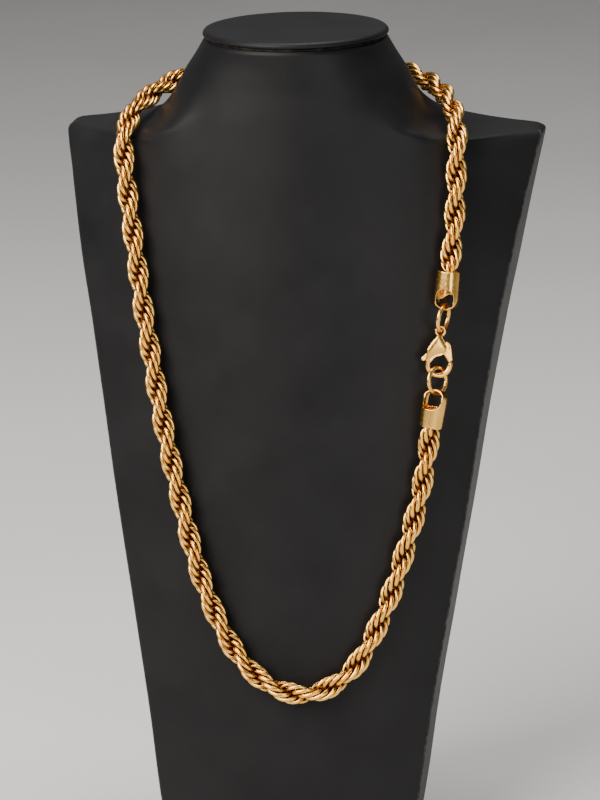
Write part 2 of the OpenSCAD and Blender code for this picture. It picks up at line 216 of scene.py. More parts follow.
# Clasp plane and the clasp's lengths, as the part's source states them
CLASP_FOOT = Vector((0.0425, -0.01925, 0.1385))
CLASP_TURN = 18
CLASP_LEAN = 7.5
CLASP_TILT = 5
CLAW_R = 0.0038
CLASP_RISE = 0.009075
HOOK_WIRE = 0.0015
HOOK_R = CLAW_R - HOOK_WIRE / 2
EYE_WIRE = 0.00066
EYE_Z = CLAW_R + CLASP_RISE
SLOT_HALF = 0.00075
SLOT_SHARES = (0.13, 0.74)
GATE_ANGLE = 36
GATE_SHARE = 0.07
GATE_AT = (HOOK_R, CLAW_R + GATE_SHARE * CLASP_RISE)
GATE_GAP = 0.00012
# Rounds that the clasp's outlines wrap. Columns: place across and radius as shares
# of the claw's radius, and place up from the hook's middle as a share of the rise
CHEEK_ROUNDS = [(-0.05, 0.18, 0.81), (0.12, 0.41, 0.49), (-0.26, 0.36, 0.56),
                (-0.45, 0.42, 0.375), (-0.76, 0.18, 0.11)]
PIVOT = (0.13, 0.30, 0.507)
SHOULDER = (0.43, 0.38, 0.53)
ELBOW = (0.65, 0.25, 0.32)
TIP = (0.81, 0.18, 0.12)
NUB_ROOT = (-0.87, 0.16, 0.264)
NUB_TIP = (-1.15, 0.17, 0.16)
# Finer form of the claw: where the hook begins and has its full wire, in degrees,
# then its eye, its plate and the domes of its cheeks
HOOK_START = 140
HOOK_FULL = 185
CLASP_EYE_R = 0.001225
PLATE_HALF = 0.00095
CHEEK_CUT = (0.0, 0.615, 0.0)
DOME_CUT = (0.30, 1.34, -0.20)
DOME_EDGE = 0.00125
DOME_HALF = 0.0018
DOME_REACH = 0.0017
DOME_SKEW = 0.34
TAIL_LOW = 0.0040
TAIL_END = 0.0044
TAIL_HIGH = 0.0110
TAIL_SHARE = 0.66
# Finer form of the lever: thin at its pivot, thicker along its arm
LEVER_HALF = 0.00062
ARM_HALF = 0.00073
ARM_FROM = 0.002
ARM_RAMP = 1.06
LEVER_ROUND = 0.00034
NUB_SLIMMER = 0.12
# Boxes and grids in which the two forms are meshed, the steps round each of their
# rounds, and the shortest side that an outline keeps
CLASP_BOX = ((-0.0045, -0.0022, -0.0003), (0.0045, 0.0022, 0.0149))
CLASP_GRID = 0.00007
LEVER_BOX = ((-0.006, -0.001, 0.003), (0.0045, 0.001, 0.011))
LEVER_GRID = 0.00006
ROUND_STEPS = 40
SHORTEST_SIDE = 1e-7
# A field's value deep inside a form, where nothing limits it
INSIDE = -1.0

# End caps: their sheet, their eyes, their seam and mouth, and how they are held
CAP_R = 0.00315
CAP_WALL = 0.00045
CAP_FLARE = 0.00025
CAP_DOME_Z = 0.0074
CAP_EYE_Z = 0.00755
EYE_STRETCH = 0.0003
EYE_BROW = 0.0013
EYE_CUSP = 0.7
EYE_R = 0.00245
UPPER_POINT_Z = 0.0044
LOWER_POINT_Z = 0.0053
BACK_EDGE = (0.0056, 0.0080)
BACK_SLOPE = (-0.0014, 0.0004)
SEAM_OVERRUN = 0.0004
MOUTH_WAVE = 0.00014
MOUTH_WAVES = 3
STRAP_HALF = 0.001
STRAP_FROM = 0.0062
STRAP_TO = 0.0114
SEAM_HALF = 0.0001
SEAM_DEPTH = 0.0002
UPPER_HELD = 0.004
LOWER_HELD = 0.0047
UPPER_CAP_TILT = 2
UPPER_CAP_TWIST = -24
LOWER_CAP_TILT = 5
LOWER_CAP_TWIST = -28
LOWER_CAP_NOD = 6
CAP_BOX = ((-0.0037, -0.0037, -0.0003), (0.0037, 0.0037, 0.0111))
CAP_GRID = 0.00008


def mix(a, b, t):
    return a + (b - a) * t


def smooth(low, high, x):
    t = np.clip((x - low) / (high - low), 0, 1)
    return t * t * (3 - 2 * t)


def make_object(name, points, faces):
    """A smooth-shaded mesh object from points and faces."""
    mesh = bpy.data.meshes.new(name)
    mesh.from_pydata([tuple(p) for p in points], [], [tuple(f) for f in faces])
    mesh.update()
    mesh.polygons.foreach_set("use_smooth", [True] * len(mesh.polygons))
    obj = bpy.data.objects.new(name, mesh)
    bpy.context.scene.collection.objects.link(obj)
    return obj


def points_of(obj):
    co = np.empty(len(obj.data.vertices) * 3)
    obj.data.vertices.foreach_get("co", co)
    return co.reshape(-1, 3)


def set_points(obj, points):
    obj.data.vertices.foreach_set("co", np.asarray(points, np.float32).ravel())
    obj.data.update()


def normals_of(obj):
    co = np.empty(len(obj.data.vertices) * 3)
    obj.data.vertices.foreach_get("normal", co)
    return co.reshape(-1, 3)


def welded_copy(node, name):
    """A new object with a CAD node's mesh, its split corners joined."""
    mesh = bmesh.new()
    mesh.from_mesh(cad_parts[node].data)
    bmesh.ops.remove_doubles(mesh, verts=mesh.verts, dist=WELD)
    data = bpy.data.meshes.new(name)
    mesh.to_mesh(data)
    mesh.free()
    data.materials.clear()
    for attribute in list(data.attributes):
        if attribute.name == "custom_normal":
            data.attributes.remove(attribute)
    data.polygons.foreach_set("use_smooth", [True] * len(data.polygons))
    obj = bpy.data.objects.new(name, data)
    bpy.context.scene.collection.objects.link(obj)
    return obj


def apply_modifiers(obj):
    graph = bpy.context.evaluated_depsgraph_get()
    data = bpy.data.meshes.new_from_object(obj.evaluated_get(graph))
    obj.modifiers.clear()
    obj.data = data
    data.polygons.foreach_set("use_smooth", [True] * len(data.polygons))
    return obj


# Solid forms as fields: negative inside, in metres
def blend_max(a, b, k):
    """The larger of two fields, rounded over k where they meet."""
    return -blend_min(-a, -b, k)


def blend_min(a, b, k):
    t = np.clip(0.5 + 0.5 * (b - a) / k, 0, 1)
    return mix(b, a, t) - k * t * (1 - t)


def surface_of(field, low, high, step):
    """Points and quads of the surface on which a field is nought, inside a box."""
    axes = [np.arange(a, b + step, step) for a, b in zip(low, high)]
    value = field(axes[0][:, None, None], axes[1][None, :, None], axes[2][None, None, :])
    cells = np.array(value.shape) - 1
    total = np.zeros((*cells, 3))
    hits = np.zeros(cells)
    crossings = []
    for axis in range(3):
        before = np.take(value, np.arange(cells[axis]), axis)
        after = np.take(value, np.arange(1, cells[axis] + 1), axis)
        crossed = (before < 0) != (after < 0)
        share = np.where(crossed, before / np.where(crossed, before - after, 1), 0)
        places = [axes[i][:crossed.shape[i]].reshape([-1 if j == i else 1 for j in range(3)])
                  for i in range(3)]
        place = np.stack([np.broadcast_to(p, crossed.shape) for p in places], 3).copy()
        place[..., axis] += share * step
        place *= crossed[..., None]
        others = [i for i in range(3) if i != axis]
        for shift in ((0, 0), (0, 1), (1, 0), (1, 1)):
            window = [slice(None)] * 3
            for i, move in zip(others, shift):
                window[i] = slice(move, move + cells[i])
            total += place[tuple(window)]
            hits += crossed[tuple(window)]
        crossings.append((crossed, before < 0))
    used = hits > 0
    index = np.full(tuple(cells), -1)
    index[used] = np.arange(used.sum())
    faces = []
    for axis, (crossed, rising) in enumerate(crossings):
        u, v = (axis + 1) % 3, (axis + 2) % 3
        spots = np.argwhere(crossed)
        outward = rising[tuple(spots.T)]
        corners = []
        for du, dv in ((-1, -1), (0, -1), (0, 0), (-1, 0)):
            spot = spots.copy()
            spot[:, u] += du
            spot[:, v] += dv
            corners.append(index[tuple(spot.T)])
        quads = np.stack(corners, 1)
        faces.append(np.where(outward[:, None], quads, quads[:, ::-1]))
    return total[used] / hits[used][:, None], np.concatenate(faces)


def solid_object(name, field, box, step, matrix):
    """A polished mesh of a field drawn in its own frame, set down by a matrix."""
    points, faces = surface_of(field, *box, step)
    obj = make_object(name, from_plane(points, matrix), faces.tolist())
    smoothing = obj.modifiers.new("smooth", "SMOOTH")
    smoothing.iterations = POLISH_PASSES
    return apply_modifiers(obj)


def finish_piece(obj, body, slot, material, *nodes):
    obj.data.materials.clear()
    obj.data.materials.append(material)
    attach(obj, body)
    if nodes:
        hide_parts(*nodes)


# Materials
def new_material(name):
    material = bpy.data.materials.new(name)
    material.use_nodes = True
    tree = material.node_tree
    return material, tree, tree.nodes["Principled BSDF"]


def noise_of(tree, scale, detail, roughness=0.5):
    place = tree.nodes.new("ShaderNodeTexCoord")
    texture = tree.nodes.new("ShaderNodeTexNoise")
    texture.inputs["Scale"].default_value = scale
    texture.inputs["Detail"].default_value = detail
    texture.inputs["Roughness"].default_value = roughness
    tree.links.new(place.outputs["Object"], texture.inputs["Vector"])
    return texture.outputs["Fac"]


def attribute_of(tree, name):
    attribute = tree.nodes.new("ShaderNodeAttribute")
    attribute.attribute_name = name
    return attribute.outputs["Fac"]


def tones_of(tree, texture, places, tones):
    """Two tones, spread over a texture's values between two places."""
    ramp = tree.nodes.new("ShaderNodeValToRGB")
    for element, place, tone in zip(ramp.color_ramp.elements, places, tones):
        element.position = place
        element.color = (*tone, 1)
    tree.links.new(texture, ramp.inputs["Fac"])
    return ramp.outputs["Color"]


def spread_of(tree, texture, before, after):
    """A texture's values between two numbers, spread between two others."""
    spread = tree.nodes.new("ShaderNodeMapRange")
    for side, values in (("From", before), ("To", after)):
        spread.inputs[side + " Min"].default_value = values[0]
        spread.inputs[side + " Max"].default_value = values[1]
    tree.links.new(texture, spread.inputs["Value"])
    return spread.outputs["Result"]


def wear_and_painted_light_to(tree, share, base, tone):
    """A base colour that gives way to a tone where the share grows."""
    mixed = tree.nodes.new("ShaderNodeMix")
    mixed.data_type = "RGBA"
    mixed.inputs["B"].default_value = tone
    tree.links.new(share, mixed.inputs["Factor"])
    tree.links.new(base, mixed.inputs["A"])
    return mixed.outputs["Result"]


def add_bump(tree, shader, height, strength, distance):
    bump = tree.nodes.new("ShaderNodeBump")
    bump.inputs["Strength"].default_value = strength
    bump.inputs["Distance"].default_value = distance
    tree.links.new(height, bump.inputs["Height"])
    tree.links.new(bump.outputs["Normal"], shader.inputs["Normal"])


def gold_material():
    """Polished gold plate with fine wear, and painted shade, darker and redder, in the rope's
    hollows.
    """
    material, tree, shader = new_material(GOLD)
    shader.inputs["Metallic"].default_value = 1
    tones = tones_of(tree, noise_of(tree, scale=260, detail=3), (0.35, 0.65), GOLD_TONES)
    color = wear_and_painted_light_to(tree, attribute_of(tree, "hollow"), tones, PAINTED_SHADE_TONE)
    tree.links.new(color, shader.inputs["Base Color"])
    wear = noise_of(tree, scale=1400, detail=4, roughness=0.6)
    gloss = spread_of(tree, wear, (0.3, 0.7), (0.18, 0.30))
    tree.links.new(gloss, shader.inputs["Roughness"])
    fine = noise_of(tree, scale=2600, detail=2)
    add_bump(tree, shader, fine, strength=0.12, distance=0.00004)
    return material


def leather_material():
    """Fine-grained black leatherette, a little rubbed along its edges, with a painted highlight
    there.
    """
    material, tree, shader = new_material(LEATHER)
    shader.inputs["Specular IOR Level"].default_value = 0.17
    cloud = noise_of(tree, scale=45, detail=4, roughness=0.6)
    tones = tones_of(tree, cloud, (0.3, 0.7), LEATHER_TONES)
    # Pale grey near the front edges, broken up by noise: painted highlight and wear
    patchy_rub_and_highlight = noise_of(tree, scale=900, detail=5, roughness=0.65)
    share = tree.nodes.new("ShaderNodeMath")
    share.operation = "MULTIPLY"
    tree.links.new(attribute_of(tree, "rub_and_highlight"), share.inputs[0])
    tree.links.new(spread_of(tree, patchy_rub_and_highlight, (0.42, 0.72), (0, 1)), share.inputs[1])
    color = wear_and_painted_light_to(tree, share.outputs["Value"], tones, WEAR_AND_HIGHLIGHT_TONE)
    tree.links.new(color, shader.inputs["Base Color"])
    gloss = spread_of(tree, cloud, (0, 1), (0.40, 0.56))
    tree.links.new(gloss, shader.inputs["Roughness"])
    place = tree.nodes.new("ShaderNodeTexCoord")
    cells = tree.nodes.new("ShaderNodeTexVoronoi")
    cells.feature = "DISTANCE_TO_EDGE"
    cells.inputs["Scale"].default_value = 2400
    tree.links.new(place.outputs["Object"], cells.inputs["Vector"])
    fine = noise_of(tree, scale=2200, detail=4, roughness=0.6)
    relief = tree.nodes.new("ShaderNodeMath")
    relief.operation = "MULTIPLY_ADD"
    relief.inputs[1].default_value = 0.5
    tree.links.new(fine, relief.inputs[0])
    tree.links.new(cells.outputs["Distance"], relief.inputs[2])
    add_bump(tree, shader, relief.outputs["Value"], strength=0.25, distance=0.00006)
    return material


def glue_material():
    """Old dark glue, brown in places."""
    material, tree, shader = new_material("old_glue")
    tones = tones_of(tree, noise_of(tree, scale=500, detail=3), (0.45, 0.75), GLUE_TONES)
    tree.links.new(tones, shader.inputs["Base Color"])
    shader.inputs["Roughness"].default_value = 0.6
    shader.inputs["Specular IOR Level"].default_value = 0.15
    return material


def floor_material():
    material, tree, shader = new_material("pale_floor")
    tones = tones_of(tree, noise_of(tree, scale=6, detail=3), (0.3, 0.7), FLOOR_TONES)
    tree.links.new(tones, shader.inputs["Base Color"])
    shader.inputs["Roughness"].default_value = 0.7
    return material


# Camera, lights and floor
def make_camera():
    a = math.radians(CAMERA_AZIMUTH)
    e = math.radians(CAMERA_ELEVATION)
    roll = math.radians(CAMERA_ROLL)
    right = Vector((math.cos(a), math.sin(a), 0))
    back = Vector((math.sin(a) * math.cos(e), -math.cos(a) * math.cos(e), math.sin(e)))
    up = back.cross(right)
    across = right * math.cos(roll) + up * math.sin(roll)
    upward = up * math.cos(roll) - right * math.sin(roll)
    data = bpy.data.cameras.new("camera")
    data.sensor_width = SENSOR
    data.lens = PHOTO_FOCAL_PX / PHOTO_HEIGHT_PX * SENSOR
    data.clip_start = CLIP_NEAR
    data.clip_end = CLIP_FAR
    camera = bpy.data.objects.new("camera", data)
    bpy.context.scene.collection.objects.link(camera)
    turn = Matrix((across, upward, back)).transposed().to_4x4()
    camera.matrix_world = Matrix.Translation(CAMERA_AIM + back * CAMERA_DISTANCE) @ turn
    bpy.context.scene.camera = camera


def make_light(name, place, size, power, color):
    data = bpy.data.lights.new(name, "AREA")
    data.shape = "RECTANGLE"
    data.size, data.size_y = size
    data.energy = power
    data.color = color
    light = bpy.data.objects.new(name, data)
    bpy.context.scene.collection.objects.link(light)
    light.location = place
    away = Vector(LIGHT_AIM) - Vector(place)
    light.rotation_euler = away.to_track_quat("-Z", "Y").to_euler()


def make_stage():
    for light in LIGHTS:
        make_light(*light)
    r = FLOOR_REACH
    floor = make_object("floor", [(-r, -r, 0), (r, -r, 0), (r, r, 0), (-r, r, 0)], [(0, 1, 2, 3)])
    floor.data.materials.append(floor_material())
    world = bpy.data.worlds.new("studio")
    world.use_nodes = True
    air = world.node_tree.nodes["Background"]
    air.inputs["Color"].default_value = AIR_COLOR
    air.inputs["Strength"].default_value = AIR_STRENGTH
    bpy.context.scene.world = world


# Bust
def row_at(share):
    """One row of the bust's table at any height, by a cubic that never overshoots."""
    x, y = BUST_ROWS[:, 0], BUST_ROWS[:, 1:]
    h = np.diff(x)[:, None]
    slope = np.diff(y, axis=0) / h
    tangent = np.zeros_like(y)
    same = slope[:-1] * slope[1:] > 0
    safe = np.where(same, slope[:-1] + slope[1:], 1)
    tangent[1:-1] = np.where(same, 2 * slope[:-1] * slope[1:] / safe, 0)
    tangent[0], tangent[-1] = slope[0], slope[-1]
    i = min(int(np.searchsorted(x, share, side="right")) - 1, len(x) - 2)
    t = (share - x[i]) / (x[i + 1] - x[i])
    a, b = y[i], y[i + 1]
    u, v = tangent[i] * h[i], tangent[i + 1] * h[i]
    return (a * (2 * t**3 - 3 * t**2 + 1) + u * (t**3 - 2 * t**2 + t)
            + b * (3 * t**2 - 2 * t**3) + v * (t**3 - t**2))


def stations(length, count):
    """Shares of a stretch, close together at its two corners."""
    near = CORNER_STEPS * min(1, CORNER_SHARE * length / CORNER_STEPS[-1])
    middle = np.linspace(near[-1], length - near[-1], count + 2)[1:-1]
    return np.concatenate([near, middle, (length - near)[::-1]]) / length


def bust_outline(share):
    """One section of the bust: its points, and how far each is from a front corner."""
    width, edge, mid, depth, roundness, even = row_at(share)
    w = mix(NECK_W, SHOULDER_W, width) / 2
    edge, mid = edge * FOOT_REACH, mid * FOOT_REACH
    d = depth * SIDE_D
    back = BACK_REACH * mix(FOOT_BACK, 1, share)
    inner = w * BACK_SHARE
    slant = math.hypot(w - inner, back - edge - d)
    spans = zip(OVAL_ANGLES, OVAL_ANGLES[1:])
    flat, angle = [], []

    def add(t, x, y):
        flat.extend(zip(x[:-1], y[:-1]))
        angle.extend(mix(*next(spans), t)[:-1])

    t = stations(2 * w, CHEST_STATIONS)
    u = 2 * t - 1
    add(t, w * u, mix(mid, edge, even * u**2 + (1 - even) * u**CHEST_POWER))
    t = stations(d, SIDE_STATIONS)
    add(t, w + 0 * t, edge + d * t)
    t = stations(slant, SIDE_STATIONS)
    add(t, mix(w, inner, t), mix(edge + d, back, t))
    t = stations(2 * inner, BACK_STATIONS)
    add(t, inner * (1 - 2 * t), back + 0 * t)
    t = stations(slant, SIDE_STATIONS)
    add(t, -mix(inner, w, t), mix(back, edge + d, t))
    t = stations(d, SIDE_STATIONS)
    add(t, -w + 0 * t, edge + d * (1 - t))
    flat = np.array(flat)
    turn = np.radians(angle)
    middle = (back + mid) / 2
    oval = np.stack([w * np.cos(turn), middle + (back - mid) / 2 * np.sin(turn)], 1)
    outline = mix(flat, oval, roundness)
    for _ in range(CORNER_PASSES):
        outline = (np.roll(outline, 1, 0) + 2 * outline + np.roll(outline, -1, 0)) / 4
    corners = flat[[0, len(stations(2 * w, CHEST_STATIONS)) - 1]]
    distance = np.abs(flat[:, None] - corners[None]).sum(2).min(1)
    return outline, distance + UNMARKED * roundness


def soften_front(rings):
    """Lets the chest flow into the neck: its depth is averaged over nearby heights."""
    across = np.arange(-SHOULDER_W / 2, SHOULDER_W / 2, SOFT_STEP)
    heights = rings[:, 0, 2]
    front = slice(0, CHEST_STATIONS + 2 * len(CORNER_STEPS))
    depth, inside = [], []
    for ring in rings[:, front]:
        depth.append(np.interp(across, ring[:, 0], ring[:, 1]))
        inside.append(1 - smooth(SOFT_FULL, SOFT_EDGE, np.abs(across) / ring[:, 0].max()))
    depth, inside = np.array(depth), np.array(inside)
    near = np.exp(-((heights[:, None] - heights) / SOFT_REACH) ** 2) * np.gradient(heights)
    soft = (near @ (depth * inside)) / np.maximum(near @ inside, TINY)
    zone = smooth(SOFT_FROM - SOFT_REACH, SOFT_FROM, heights)
    zone *= 1 - smooth(SOFT_TO, SOFT_TO + SOFT_REACH, heights)
    for k, ring in enumerate(rings[:, front]):
        x = ring[:, 0]
        share = (1 - smooth(*SOFT_SHARES, 2 * np.abs(x) / SHOULDER_W)) * zone[k]
        share *= 1 - smooth(SOFT_FULL, SOFT_EDGE, np.abs(x) / x.max())
        ring[:, 1] += np.interp(x, across, soft[k] - depth[k]) * share
    return rings


def bust_levels():
    """Shares of the height at the bust's sections, closest where its form turns fast."""
    shares = np.linspace(0, 1, LEVEL_GRID)
    density = 1 + CREST_CROWDING * np.exp(-((shares - CREST_AT) / CREST_REACH) ** 2)
    total = np.concatenate([[0], np.cumsum((density[1:] + density[:-1]) / 2)])
    return np.interp(np.linspace(0, total[-1], BUST_LEVELS), total, shares)


def make_bust(material):
    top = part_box("neck_bust")[1].z
    shares = bust_levels()
    sections = [bust_outline(s) for s in shares]
    rings, distances = [], []
    first = sections[0][0]
    centre = first.mean(0)
    for z, inset in ((0, 2 * FOOT_ROUND), (FOOT_TUCK * FOOT_ROUND, FOOT_ROUND), (FOOT_ROUND, 0)):
        shrink = 1 - inset / np.linalg.norm(first - centre, axis=1)[:, None]
        rings.append(np.column_stack([centre + (first - centre) * shrink, np.full(len(first), z)]))
        distances.append(sections[0][1])
    for share, (outline, distance) in zip(shares, sections):
        z = mix(FOOT_T, top, share)
        rings.append(np.column_stack([outline, np.full(len(outline), z)]))
        distances.append(distance)
    n = len(rings[0])
    rings[3:] = soften_front(np.array(rings[3:]))
    points = np.concatenate(list(rings) + [[rings[0].mean(0)], [rings[-1].mean(0)]])
    points[:, 1] += NECK_AXIS_Y
    faces = []
    for k in range(len(rings) - 1):
        a = k * n
        for i in range(n):
            j = (i + 1) % n
            faces.append((a + i, a + j, a + n + j, a + n + i))
    last = (len(rings) - 1) * n
    for i in range(n):
        j = (i + 1) % n
        faces.append((j, i, len(points) - 2))
        faces.append((last + i, last + j, len(points) - 1))
    bust = make_object("bust_skin", points, faces)
    # The middles of the foot and of the top lie far from any edge
    distances = np.concatenate(distances + [[1], [1]])
    # Painted highlight and wear: paler near the front corners of each section
    attribute = bust.data.attributes.new("rub_and_highlight", "FLOAT", "POINT")
    attribute.data.foreach_set("value", np.clip(1 - distances / RUB_AND_HIGHLIGHT_REACH, 0, 1))
    drape_bust(bust)
    finish_piece(bust, WORN, LEATHER, material, "neck_bust")


def drape_bust(bust):
    """Gives the covering its soft folds and the slight unevenness of padding."""
    points = points_of(bust)
    normals = normals_of(bust)
    lift = np.zeros(len(points))
    for start, end, width, height in FOLDS:
        a = np.array(start)
        along = np.array(end) - a
        t = np.clip(((points - a) @ along) / (along @ along), 0, 1)
        gap = np.linalg.norm(points - a - t[:, None] * along, axis=1)
        lift += height * np.exp(-((gap / width) ** 2)) * np.sin(math.pi * np.clip(t, *FOLD_ENDS))
    swell = np.array([noise.noise(Vector(p) * PADDING_PITCH) for p in points])
    draped = smooth(*DRAPED_FROM, points[:, 2]) * (1 - smooth(*DRAPED_TO, points[:, 2]))
    set_points(bust, points + normals * ((lift + PADDING_SWELL * swell) * draped)[:, None])


def make_disc(material):
    low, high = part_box("neck_disc")
    radius = (high.x - low.x) / 2
    centre = (low + high) / 2
    half = (high.z - low.z) / 2
    top, bottom = high.z - DISC_INSET, low.z + DISC_INSET
    profile = [(0, high.z - DISC_MIDDLE), (radius / 2, top)]
    for i in range(RIM_STEPS):
        swell = DISC_INSET * math.sin(i * math.pi / (2 * RIM_STEPS))
        profile.append((radius - RIM_FROM + RIM_STEP * i, top + swell))
    for i in range(RIM_STEPS + 1):
        a = math.radians(90 - 180 * i / RIM_STEPS)
        drop = half if a > 0 else DISC_UNDERSIDE * half
        profile.append((radius - half + half * math.cos(a), centre.z + drop * math.sin(a)))
    profile += [(radius - RIM_TUCK, bottom), (0, bottom)]
    across, along = DISC_WAVE_PITCH
    points, faces = [], []
    for k in range(DISC_TURNS):
        a = 2 * math.pi * k / DISC_TURNS
        for r, z in profile[1:-1]:
            at = Vector((across * math.cos(a), across * math.sin(a), z * along))
            wave = DISC_WAVE * noise.noise(at)
            r += wave * r / radius
            points.append((centre.x + r * math.cos(a), centre.y + r * math.sin(a), z + wave / 2))
    n = len(profile) - 2
    for k in range(DISC_TURNS):
        b = (k + 1) % DISC_TURNS
        for i in range(n - 1):
            faces.append((k * n + i, k * n + i + 1, b * n + i + 1, b * n + i))
        faces.append((k * n, b * n, DISC_TURNS * n))
        faces.append((b * n + n - 1, k * n + n - 1, DISC_TURNS * n + 1))
    points.append((centre.x, centre.y, profile[0][1]))
    points.append((centre.x, centre.y, profile[-1][1]))
    disc = make_object("disc_skin", points, faces)
    disc.data.attributes.new("rub_and_highlight", "FLOAT", "POINT")
    finish_piece(disc, WORN, LEATHER, material, "neck_disc")


def make_glue(material):
    """The uneven line of glue that shows between the disc and the neck."""
    low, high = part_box("neck_disc")
    centre = (low + high) / 2
    radius = (high.x - low.x) / 2 - GLUE_INSET
    points, faces = [], []
    for k in range(GLUE_TURNS):
        a = 2 * math.pi * k / GLUE_TURNS
        at = Vector((GLUE_PITCH * math.cos(a), GLUE_PITCH * math.sin(a), 0))
        bead = GLUE_R * (1 + GLUE_UNEVEN * noise.noise(at))
        for j in range(GLUE_SIDES):
            b = 2 * math.pi * j / GLUE_SIDES
            r = radius + bead * math.cos(b)
            points.append((centre.x + r * math.cos(a), centre.y + r * math.sin(a),
                           low.z + GLUE_R / 2 + bead * math.sin(b)))
    for k in range(GLUE_TURNS):
        a, b = k * GLUE_SIDES, (k + 1) % GLUE_TURNS * GLUE_SIDES
        for j in range(GLUE_SIDES):
            i = (j + 1) % GLUE_SIDES
            faces.append((a + j, b + j, b + i, a + i))
    glue = make_object("neck_glue", points, faces)
    finish_piece(glue, WORN, LEATHER, material)


# Rope chain
def tube_line(node):
    """The middle line of a CAD tube, ring by ring from its upper end."""
    mesh = bmesh.new()
    mesh.from_mesh(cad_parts[node].data)
    bmesh.ops.remove_doubles(mesh, verts=mesh.verts, dist=WELD)
    mesh.verts.index_update()
    rims = {v for e in mesh.edges if e.calc_face_angle(0) > RIM_TURN for v in e.verts}
    top = max(rims, key=lambda v: v.co.z)
    ring = {v for v in rims if (v.co - top.co).length < RIM_SPAN}
    # A point in the middle of the flat end is left out, since it is no ring
    seen = ring | {v for v in mesh.verts if all(e.other_vert(v) in ring for e in v.link_edges)}
    line = []
    while len(ring) > 1:
        points = [v.co for v in sorted(ring, key=lambda v: v.index)]
        line.append(sum(points, Vector()) / len(points))
        ring = {e.other_vert(v) for v in ring for e in v.link_edges} - seen
        seen |= ring
    mesh.free()
    return np.array(line)


def smooth_line(points, steps):
    """A smooth line through points, with steps between each two."""
    padded = np.concatenate([points[:1], points, points[-1:]])
    out = []
    for a, b, c, d in zip(padded, padded[1:], padded[2:], padded[3:]):
        for t in np.linspace(0, 1, steps, endpoint=False):
            out.append(0.5 * (2 * b + (c - a) * t + (2 * a - 5 * b + 4 * c - d) * t**2
                              + (3 * b - a - 3 * c + d) * t**3))
    return np.array(out + [points[-1]])


def carried_frames(line):
    """Directions along a line, and a side direction carried along it without twist."""
    way = np.gradient(line, axis=0)
    way /= np.linalg.norm(way, axis=1)[:, None]
    side = np.cross(way[0], (0, 1, 0))
    sides = []
    for t in way:
        side = side - (side @ t) * t
        side = side / np.linalg.norm(side)
        sides.append(side)
    return way, np.array(sides)


def link_shape():
    """One closed link: points of its wire's surface, and its faces."""
    t = np.linspace(0, 2 * math.pi, LINK_STATIONS, endpoint=False)
    ring = np.stack([-LINK_LEAN * LINK_HALF_LENGTH * np.sin(t) * np.cos(t),
                     LINK_HALF_WIDTH * np.cos(t), LINK_HALF_LENGTH * np.sin(t)], 1)
    way = np.roll(ring, -1, 0) - np.roll(ring, 1, 0)
    way /= np.linalg.norm(way, axis=1)[:, None]
    flat = np.array([1.0, 0, 0]) - way[:, :1] * way
    flat /= np.linalg.norm(flat, axis=1)[:, None]
    out = np.cross(way, flat)
    points = []
    for j in range(LINK_SIDES):
        a = 2 * math.pi * j / LINK_SIDES
        points.append(ring + LINK_WIRE / 2 * (math.cos(a) * out + math.sin(a) * flat))
    points = np.stack(points, 1).reshape(-1, 3)
    faces = []
    for i in range(LINK_STATIONS):
        a, b = i * LINK_SIDES, (i + 1) % LINK_STATIONS * LINK_SIDES
        for j in range(LINK_SIDES):
            k = (j + 1) % LINK_SIDES
            faces.append((a + j, a + k, b + k, b + j))
    return points, np.array(faces)


def make_rope(material, line):
    """The rope: closed links along its line, each turned a little past the one before."""
    line = smooth_line(line, LINE_STEPS)
    way, side = carried_frames(line)
    rest = np.cross(way, side)
    lengths = np.concatenate([[0], np.cumsum(np.linalg.norm(np.diff(line, axis=0), axis=1))])
    total = lengths[-1]
    shape, faces = link_shape()
    rng = np.random.default_rng(ROPE_SEED)
    early, late = CRIMP_EASE
    count = int((total - 2 * LINK_HALF_LENGTH) / LINK_STEP) + 1
    all_points, all_faces, hollow = [], [], []
    for k in range(count):
        s = LINK_HALF_LENGTH + k * LINK_STEP
        turn = k * LINK_TURN + rng.normal(0, LINK_TURN_SPREAD)
        c, d = math.cos(turn), math.sin(turn)
        x = shape[:, 0] * c - shape[:, 1] * d
        y = shape[:, 0] * d + shape[:, 1] * c
        at = s + shape[:, 2] * (1 + rng.normal(0, LINK_LENGTH_SPREAD))
        end = np.minimum(at, total - at)
        squeeze = mix(CRIMP_SHARE, 1, smooth(CRIMP_LENGTH - early, CRIMP_LENGTH + late, end))
        base = np.stack([np.interp(at, lengths, line[:, i]) for i in range(3)], 1)
        u = np.stack([np.interp(at, lengths, side[:, i]) for i in range(3)], 1)
        v = np.stack([np.interp(at, lengths, rest[:, i]) for i in range(3)], 1)
        all_points.append(base + u * (x * squeeze)[:, None] + v * (y * squeeze)[:, None])
        all_faces.append(faces + k * len(shape))
        # Painted shade: each link is darkened where it lies near the rope's middle line
        hollow.append(1 - smooth(PAINTED_SHADE_R, PAINTED_SHADE_R + LINK_WIRE / 2, np.hypot(x, y)))
    rope = make_object("rope_links", np.concatenate(all_points), np.concatenate(all_faces).tolist())
    attribute = rope.data.attributes.new("hollow", "FLOAT", "POINT")
    attribute.data.foreach_set("value", np.concatenate(hollow))
    finish_piece(rope, WORN, GOLD, material, "rope_chain")


# Clasp and findings
def turned(x=0, y=0, z=0):
    return (Matrix.Rotation(math.radians(z), 4, "Z") @ Matrix.Rotation(math.radians(y), 4, "Y")
            @ Matrix.Rotation(math.radians(x), 4, "X"))


def clasp_matrix():
    return (Matrix.Translation(CLASP_FOOT) @ turned(z=CLASP_TURN)
            @ turned(x=-CLASP_LEAN) @ turned(y=CLASP_TILT))


def from_plane(points, matrix):
    m = np.array(matrix)
    return points @ m[:3, :3].T + m[:3, 3]


